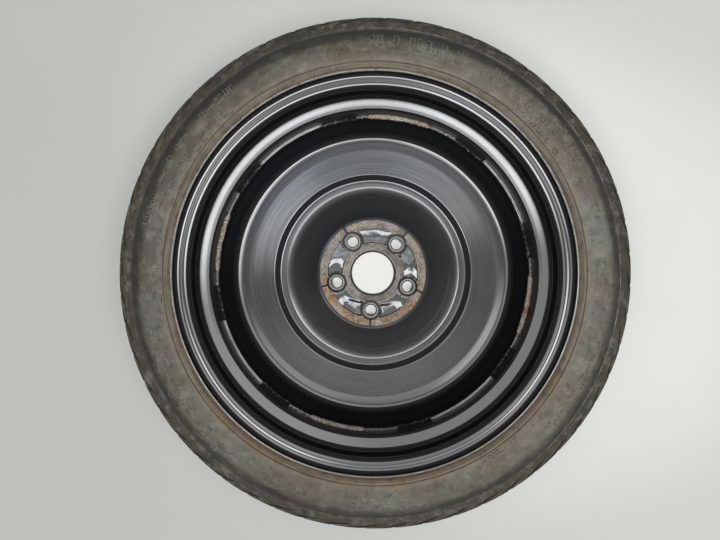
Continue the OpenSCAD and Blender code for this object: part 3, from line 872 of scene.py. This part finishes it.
def tyreCorners():
    # The upper half's outline from the tread to the bead and back inside, then its mirror image
    def slopeAt(radius):
        return 62.2 + (radius - 238.4) * (68.2 - 62.2) / (260 - 238.4)

    ribs = [(radius + step, slopeAt(radius + step) + lift, 0.15) for radius in (243.4, 240.9)
            for step, lift in ((0.75, 0), (0.25, tyre["rib"]), (-0.25, tyre["rib"]), (-0.75, 0))]
    upper = [*[(crownAt(s), s, 0) for s in (6.5, 10, 14, 17)], *treadGroove(tyre["sideGroove"]),
             *[(crownAt(s), s, 0) for s in (27, 33, 39)],
             (crownAt(tyre["treadHalf"]), tyre["treadHalf"], 2.5), (292.4, 50.6, 6), (284.4, 54, 0.9),
             (283.3, 52.4, 1.6), (260, 68.2, 34), *ribs, (238.4, 62.2, 2.6), (235.9, 57.4, 0.4),
             (233.8, 57.2, 0), (233.8, 52, 8), (217.1, 52, 7.7), (217.1, 31.5, 1.5),
             (214.8, 31.7, 0.8), (227, 45, 10), (240, 57, 8), (260, 60.5, 24), (291, 43, 16)]
    lower = [(radius, -side, rounding) for radius, side, rounding in reversed(upper)]
    return [(r, midHeight + s, c) for r, s, c in lower + treadGroove(0) + upper]


def shoulderCutters():
    cuts = bmesh.new()
    place = (Matrix.Rotation(math.radians(slot["turn"]), 4, "Z")
             @ Matrix.Translation((slot["radius"] * mm, 0, slot["height"] * mm))
             @ Matrix.Rotation(math.radians(slot["lean"]), 4, "X"))
    bmesh.ops.create_cube(cuts, size=1,
                          matrix=place @ Matrix.Diagonal((*[s * mm for s in slot["size"]], 1)))
    bmesh.ops.bevel(cuts, geom=cuts.edges[:], offset=1.2 * mm, affect="EDGES", segments=2, profile=0.5,
                    material=-1)
    place = (Matrix.Rotation(math.radians(leaf["turn"]), 4, "Z")
             @ Matrix.Translation((leaf["radius"] * mm, 0, leaf["height"] * mm))
             @ Matrix.Rotation(math.radians(leaf["slope"]), 4, "Y")
             @ Matrix.Rotation(math.radians(leaf["lean"]), 4, "X"))
    bmesh.ops.create_icosphere(cuts, subdivisions=2, radius=1,
                               matrix=place @ Matrix.Diagonal((*[s * mm for s in leaf["size"]], 1)))
    ringOf(cuts, tyre["slots"])
    lower = cuts.copy()
    bmesh.ops.scale(lower, vec=(1, 1, -1), verts=lower.verts[:])
    bmesh.ops.reverse_faces(lower, faces=lower.faces[:])
    swing(lower, math.pi / tyre["slots"])
    joined(cuts, lower)
    bmesh.ops.translate(cuts, verts=cuts.verts[:], vec=(0, 0, midHeight * mm))
    return cuts


# Plain raised marks stand where a tyre carries its moulded data: start and end angle, inner and outer
# radius, number of marks

relief = {"lift": 0.5, "sink": 0.12, "slope": 1.4, "step": 3.5,
          "upper": [(24, 60, 258, 275, 9), (64, 92, 258, 274, 7), (26, 51, 246, 253, 11),
                    (127, 170, 265, 273, 13), (131, 161, 246, 255, 12), (168, 192, 244, 249, 9),
                    (194, 199, 258, 277, 2), (202, 231, 258, 276, 7), (265, 280, 262, 272, 5),
                    (300, 312, 246, 251, 5), (318, 340, 263, 273, 9)],
          "lower": [(20, 70, 262, 278, 10), (110, 150, 263, 274, 12), (200, 250, 262, 278, 10),
                    (290, 330, 263, 272, 14)]}


def markParts(kind, inner, outer):
    # Shares of a mark's width and height: [from, to] round the wheel, then [from, to] in radius
    plans = [[(0, 0.24, 0, 1)], [(0, 0.24, 0, 1), (0.5, 0.74, 0, 1)], [(0, 0.74, 0.38, 0.62)],
             [(0, 0.24, 0, 1), (0.5, 0.74, 0, 0.5)], [(0.1, 0.6, 0, 0.22), (0.1, 0.6, 0.78, 1)]]
    height = outer - inner
    return [(a, b, inner + c * height, inner + d * height) for a, b, c, d in plans[kind % len(plans)]]


def raisedPatch(mesh, start, end, inner, outer, surface, side):
    # A closed pad that follows the sidewall: its rim lies under the rubber and its top stands out
    rows = max(1, round((outer - inner) / relief["step"]))
    columns = max(1, round(math.radians(end - start) * inner / relief["step"]))
    slope = relief["slope"]
    turn = math.degrees(slope / inner)

    def placed(i, count, low, high, outside):
        # Place of grid line i of a strip with one sloping row at each side
        beyond = outside if i > count + 1 else -outside if i < 1 else 0
        return low + (high - low) * min(max(i - 1, 0), count) / count + beyond

    grid = bmesh.ops.create_grid(mesh, x_segments=columns + 2, y_segments=rows + 2, size=1)["verts"]
    for point in grid:
        column = round((point.co.x + 1) / 2 * (columns + 2))
        row = round((point.co.y + 1) / 2 * (rows + 2))
        radius = placed(row, rows, inner, outer, slope)
        angle = math.radians(placed(column, columns, start, end, turn))
        border = row in (0, rows + 2) or column in (0, columns + 2)
        height = surface(radius) + (-relief["sink"] if border else relief["lift"])
        point.co = (radius * mm * math.cos(angle), radius * mm * math.sin(angle),
                    (midHeight + side * height) * mm)
    faces = {face for point in grid for face in point.link_faces}
    for face in faces:
        face.material_index = 1 if any(edge.is_boundary for v in face.verts for edge in v.link_edges) else 0
    around = {edge for point in grid for edge in point.link_edges}
    bmesh.ops.holes_fill(mesh, edges=[edge for edge in around if edge.is_boundary], sides=0)


def makeRelief(casing):
    tree = BVHTree.FromBMesh(casing)

    def surface(radius):
        hit = tree.ray_cast(Vector((radius * mm, 0, 1)), Vector((0, 0, -1)))[0]
        return hit.z / mm - midHeight

    marks = bmesh.new()
    for side, groups in ((1, relief["upper"]), (-1, relief["lower"])):
        for k, (start, end, inner, outer, count) in enumerate(groups):
            width = (end - start) / count
            for i in range(count):
                for a, b, low, high in markParts(i * 3 + k * 2 + i // 4, inner, outer):
                    first, last = start + width * (i + a), start + width * (i + b)
                    raisedPatch(marks, first, last, low, high, surface, side)
    return marks


def makeTyre(finish, flank):
    casing = turnedMesh(tyreCorners(), tyre["steps"], tyre["arcStep"])
    marks = makeRelief(casing)
    casing = carve(casing, shoulderCutters())
    joined(casing, marks)
    piece = finished("tyreCasing", casing, finish, sharp=35, replaces=["tyre"])
    piece.data.materials.append(flank.material)


rimPaint = makeRimPaint()
discPaint = makeDiscPaint()
weldMetal = makeWeldMetal()
tyreRubber = makeTyreRubber()
makeRim(rimPaint)
makeDisc(discPaint)
makeWelds(weldMetal)
makeTyre(tyreRubber, makeMarkFlank())

valveRubber, brass, capPlastic = makeRubber(), makeBrass(), makeCapPlastic()
redGasket, springSteel = makeGasket(), makeSpringSteel()
finishOf = {"valve_body": valveRubber, "valve_tube": brass, "core_plug": brass, "core_barrel": brass,
            "core_gasket": redGasket, "core_spring": springSteel, "valve_pin": brass,
            "pin_seal": valveRubber, "cap_seal": valveRubber, "valve_cap": capPlastic}
for name, finish in finishOf.items():
    nodes[name].material_slots[0].material = finish.material
print("valve dressed")
